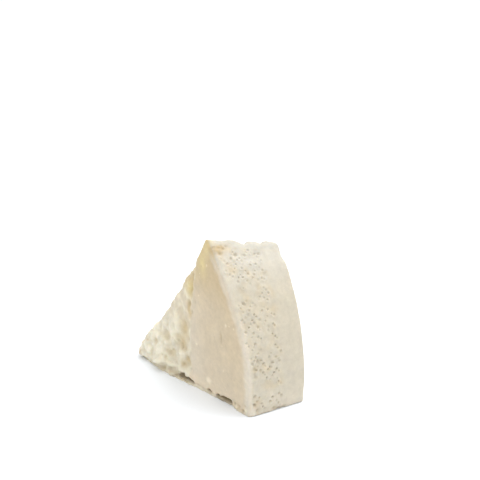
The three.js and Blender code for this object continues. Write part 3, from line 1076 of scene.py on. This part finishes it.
# Painted shade in the rind's dots, cracks and holes, darker the deeper they are.
sunken = dent + rind_marks * until(y, *SHADED_MARKS_END)
keep_mask("rind", np.maximum(rind_share, at_rim))
keep_mask("crown", crown)
keep_mask("rim", at_rim)
keep_mask("dent", np.clip(sunken / FULL_SHADE_DEPTH, 0, 1))

# %% [markdown]
# Hands and the board rub the wedge paler where it sticks out: on the long edge between
# the near face and the rind, and along the foot of the rind. On the long edge the pale
# strip is partly a painted highlight, where the rounded edge catches the light. The
# rubbed strip reaches a few millimetres to each side of the edge, and its outline wanders.

# %% Mask of the rubbed edges, with the painted highlight on the long edge
RUB_WANDER, RUB_WANDER_SIZE = 0.25, 5.0
RUBBED_THROUGH = 0.3
RIND_RUB, RIND_RUB_MORE, RIND_RUB_PLACE = 2.6, 3.4, (50.0, 22.0)
FACE_RUB, FACE_RUB_SOFTNESS = 5.4, 4.5
FACE_RUB_LOW, FACE_RUB_LOW_END = 3.6, (5, 50)
FACE_RUB_HIGH, FACE_RUB_HIGH_START = 2.6, (50, 75)
RUB_END, RUB_LOSS, RUB_LOSS_HEIGHTS = (99, 110), 0.3, (35, 75)
FOOT_RUB, FOOT_RUB_END = 0.35, (3, 24)
HEEL_RUB = 0.9

wander = 1 + RUB_WANDER * cloud(points, RUB_WANDER_SIZE, seed=27.0)
rind_reach = (RIND_RUB + RIND_RUB_MORE * hump(z, *RIND_RUB_PLACE)) * wander
face_reach = FACE_RUB + FACE_RUB_LOW * until(z, *FACE_RUB_LOW_END)
face_reach = (face_reach + FACE_RUB_HIGH * smoothstep(z, *FACE_RUB_HIGH_START)) * wander
# On the long edge the pale strip is partly a painted highlight.
worn = until(near, RUBBED_THROUGH * rind_reach, rind_reach)
worn *= until(rind, face_reach - FACE_RUB_SOFTNESS, face_reach)
worn *= until(z, *RUB_END) * (1 - RUB_LOSS * smoothstep(z, *RUB_LOSS_HEIGHTS))
worn = np.maximum(worn, FOOT_RUB * rind_share * until(z, *FOOT_RUB_END))
keep_mask("worn", np.maximum(worn, HEEL_RUB * at_heel))

# %% [markdown]
# The skin is turned from millimetres at the heel to metres in the model's frame, and
# becomes the one object of this scene. It rides on the model's only body and stands in
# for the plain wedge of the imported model.

# %% Wedge object
wedge = bpy.data.objects.new("pecorino_wedge", skin)
skin.transform(Matrix.Translation(heel) @ Matrix.Scale(MM, 4))
scene.collection.objects.link(wedge)
skin.shade_smooth()
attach(wedge, "root")
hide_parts("cheese_wedge")
sides = np.ptp(points_of(skin), axis=0) / MM
print("the wedge measures", [round(float(side), 1) for side in sides], "mm")

# %% [markdown]
# ## The finish
# Hard sheep's milk cheese is a dense, slightly greasy solid: light goes a millimetre or
# two in before it comes out again, so it has a little subsurface scattering and a dull
# satin gloss. The sawn paste is ivory and turns butter yellow under the rind. The broken
# paste has a painted highlight on its crumbs and a yellowish painted shade in its
# hollows, and the rind is a paler ivory with a brown painted shade in its dots. A painted
# picture could hold all this, but the masks follow the shape by themselves and stay
# sharp from near by.

# %% Colours
SAWN_PALE = linear("D6CCBA")
SAWN_BUTTER = linear("C4AE88")
# Painted light for the foot of the sawn face.
SAWN_FOOT_LIGHT = linear("F1E2C9")
CRUMB_WHITE = linear("E2DCCA")
# Cream: the paste's own curd tone, and the painted highlight on lumps and the ledge's crest.
CREAM_AND_HIGHLIGHT = linear("F0EAD4")
CURD_GREY = linear("C9C2AC")
BREAK_BEIGE = linear("D2C4AC")
# Yellowish painted shade for the creases of the break.
CREASE_SHADE_YELLOW = linear("CBB88E")
# Tan: the rind's own patches, and painted shade in the break's hollows, foot and under the ledge.
TAN_STAIN_AND_SHADE = linear("C6AF82")
RIND_IVORY = linear("C3BAA7")
RIND_TOP = linear("C6C0B2")
RIM_CREAM = linear("C2BDB0")
# Pale cream for rubbed places, and a painted highlight on the long edge.
RUBBED_AND_HIGHLIT_CREAM = linear("D7CDBB")
BUTTER_YELLOW = linear("DBC992")
OCHRE = linear("BAA379")
# Brown painted shade for pits, dots, cracks and holes.
PIT_SHADE_BROWN = linear("8E7C60")
# Painted shade for the slots, under the ledge and on the burr.
GAP_SHADE_BROWN = linear("7C6849")
CRYSTAL_WHITE = linear("F5EBD1")
print("the pale sawn paste is", [round(part, 3) for part in SAWN_PALE[:3]], "in linear light")

# %% [markdown]
# The finish is laid on like glazes: it starts as the pale sawn paste, and each layer
# covers the one before where its mask says so. A layer has a mask, the range of the
# mask over which it comes in, how much it covers at most, and its colour. A range that
# runs below 0 picks the places where the mask is negative, such as the pits.

# %% Layers of colour
LAYERS = [
    ("butter", 0.0, 1.0, 1.0, SAWN_BUTTER),
    ("painted_foot_light", 0.0, 1.0, 1.0, SAWN_FOOT_LIGHT),
    ("broken", 0.0, 1.0, 1.0, CRUMB_WHITE),
    ("smooth", 0.0, 1.0, 0.75, BREAK_BEIGE),
    ("curd", 0.0, 0.5, 0.55, CREAM_AND_HIGHLIGHT),
    ("curd", 0.0, -0.5, 0.4, CURD_GREY),
    ("crease", 0.0, 1.0, 0.6, CREASE_SHADE_YELLOW),
    ("rind", 0.0, 1.0, 1.0, RIND_IVORY),
    ("crown", 0.0, 1.0, 1.0, RIND_TOP),
    ("rim", 0.0, 1.0, 0.8, RIM_CREAM),
    ("stain", 0.0, 1.0, 0.8, TAN_STAIN_AND_SHADE),
    ("yellow", 0.0, 1.0, 0.9, BUTTER_YELLOW),
    ("ochre", 0.0, 1.0, 0.85, OCHRE),
    ("worn", 0.0, 1.0, 0.9, RUBBED_AND_HIGHLIT_CREAM),
    ("fleck", 0.1, 0.8, 0.8, CRYSTAL_WHITE),
    ("fleck", -0.1, -0.9, 0.3, PIT_SHADE_BROWN),
    ("dent", 0.0, 1.0, 0.28, PIT_SHADE_BROWN),
    ("gap", 0.0, 1.0, 0.64, GAP_SHADE_BROWN),
]

cheese = bpy.data.materials.new("aged_sheeps_milk_cheese")
cheese.use_nodes = True
tree = cheese.node_tree
tree.nodes.clear()
place = add(tree, "ShaderNodeTexCoord").outputs["Object"]
colour = SAWN_PALE
for name, start, end, most, paint in LAYERS:
    mask = add(tree, "ShaderNodeAttribute", attribute_name=name).outputs["Fac"]
    cover = {"Value": mask, "From Min": start, "From Max": end, "To Max": most}
    share = add(tree, "ShaderNodeMapRange", cover).outputs["Result"]
    glaze = {0: share, 6: colour, 7: paint}
    colour = add(tree, "ShaderNodeMix", glaze, data_type="RGBA").outputs[2]
print(len(LAYERS), "layers of colour")

# %% [markdown]
# No two places of the paste are quite alike, so the colour is made a little lighter
# and darker by noise of three sizes: blotches of 9 mm, curd grains of 3 mm and a fine
# grain of 1.2 mm. The finest grain of all, 0.7 mm, only tilts the light as a bump. The
# real grain is finer still, and is drawn this coarse so that it shows.

# %% Mottling, bump and shader
MOTTLES = [(9.0, 0.06), (3.2, 0.06), (1.2, 0.04)]
BUMP_GRAIN, BUMP_DEPTH = 0.7, 0.12

shade = 1.0
for size, swing in MOTTLES:
    blotches = {"Vector": place, "Scale": 1 / (size * MM), "Detail": 3.0, "Roughness": 0.6}
    blotch = add(tree, "ShaderNodeTexNoise", blotches).outputs["Fac"]
    swings = {"Value": blotch, "From Min": 0.25, "From Max": 0.75, "To Min": 1 - swing, "To Max": 1 + swing}
    ratio = add(tree, "ShaderNodeMapRange", swings).outputs["Result"]
    shade = add(tree, "ShaderNodeMath", {0: shade, 1: ratio}, operation="MULTIPLY").outputs[0]
colour = add(tree, "ShaderNodeHueSaturation", {"Value": shade, "Color": colour}).outputs["Color"]
dull = add(tree, "ShaderNodeMapRange", {
    "Value": blotch, "From Min": 0.3, "From Max": 0.7, "To Min": 0.5, "To Max": 0.66,
}).outputs["Result"]
grains = {"Vector": place, "Scale": 1 / (BUMP_GRAIN * MM), "Detail": 4.0, "Roughness": 0.65}
height = add(tree, "ShaderNodeTexNoise", grains).outputs["Fac"]
tilts = {"Strength": 0.6, "Distance": BUMP_DEPTH * MM, "Height": height}
bump = add(tree, "ShaderNodeBump", tilts).outputs["Normal"]
shader = add(tree, "ShaderNodeBsdfPrincipled", {
    "Base Color": colour,
    "Roughness": dull,
    "IOR": 1.46,
    "Normal": bump,
    "Subsurface Weight": 0.25,
    "Subsurface Radius": (1.0, 0.7, 0.4),
    "Subsurface Scale": 1.6 * MM,
})
add(tree, "ShaderNodeOutputMaterial", {"Surface": shader.outputs[0]})
skin.materials.clear()
skin.materials.append(cheese)
print("the finish has", len(tree.nodes), "nodes")
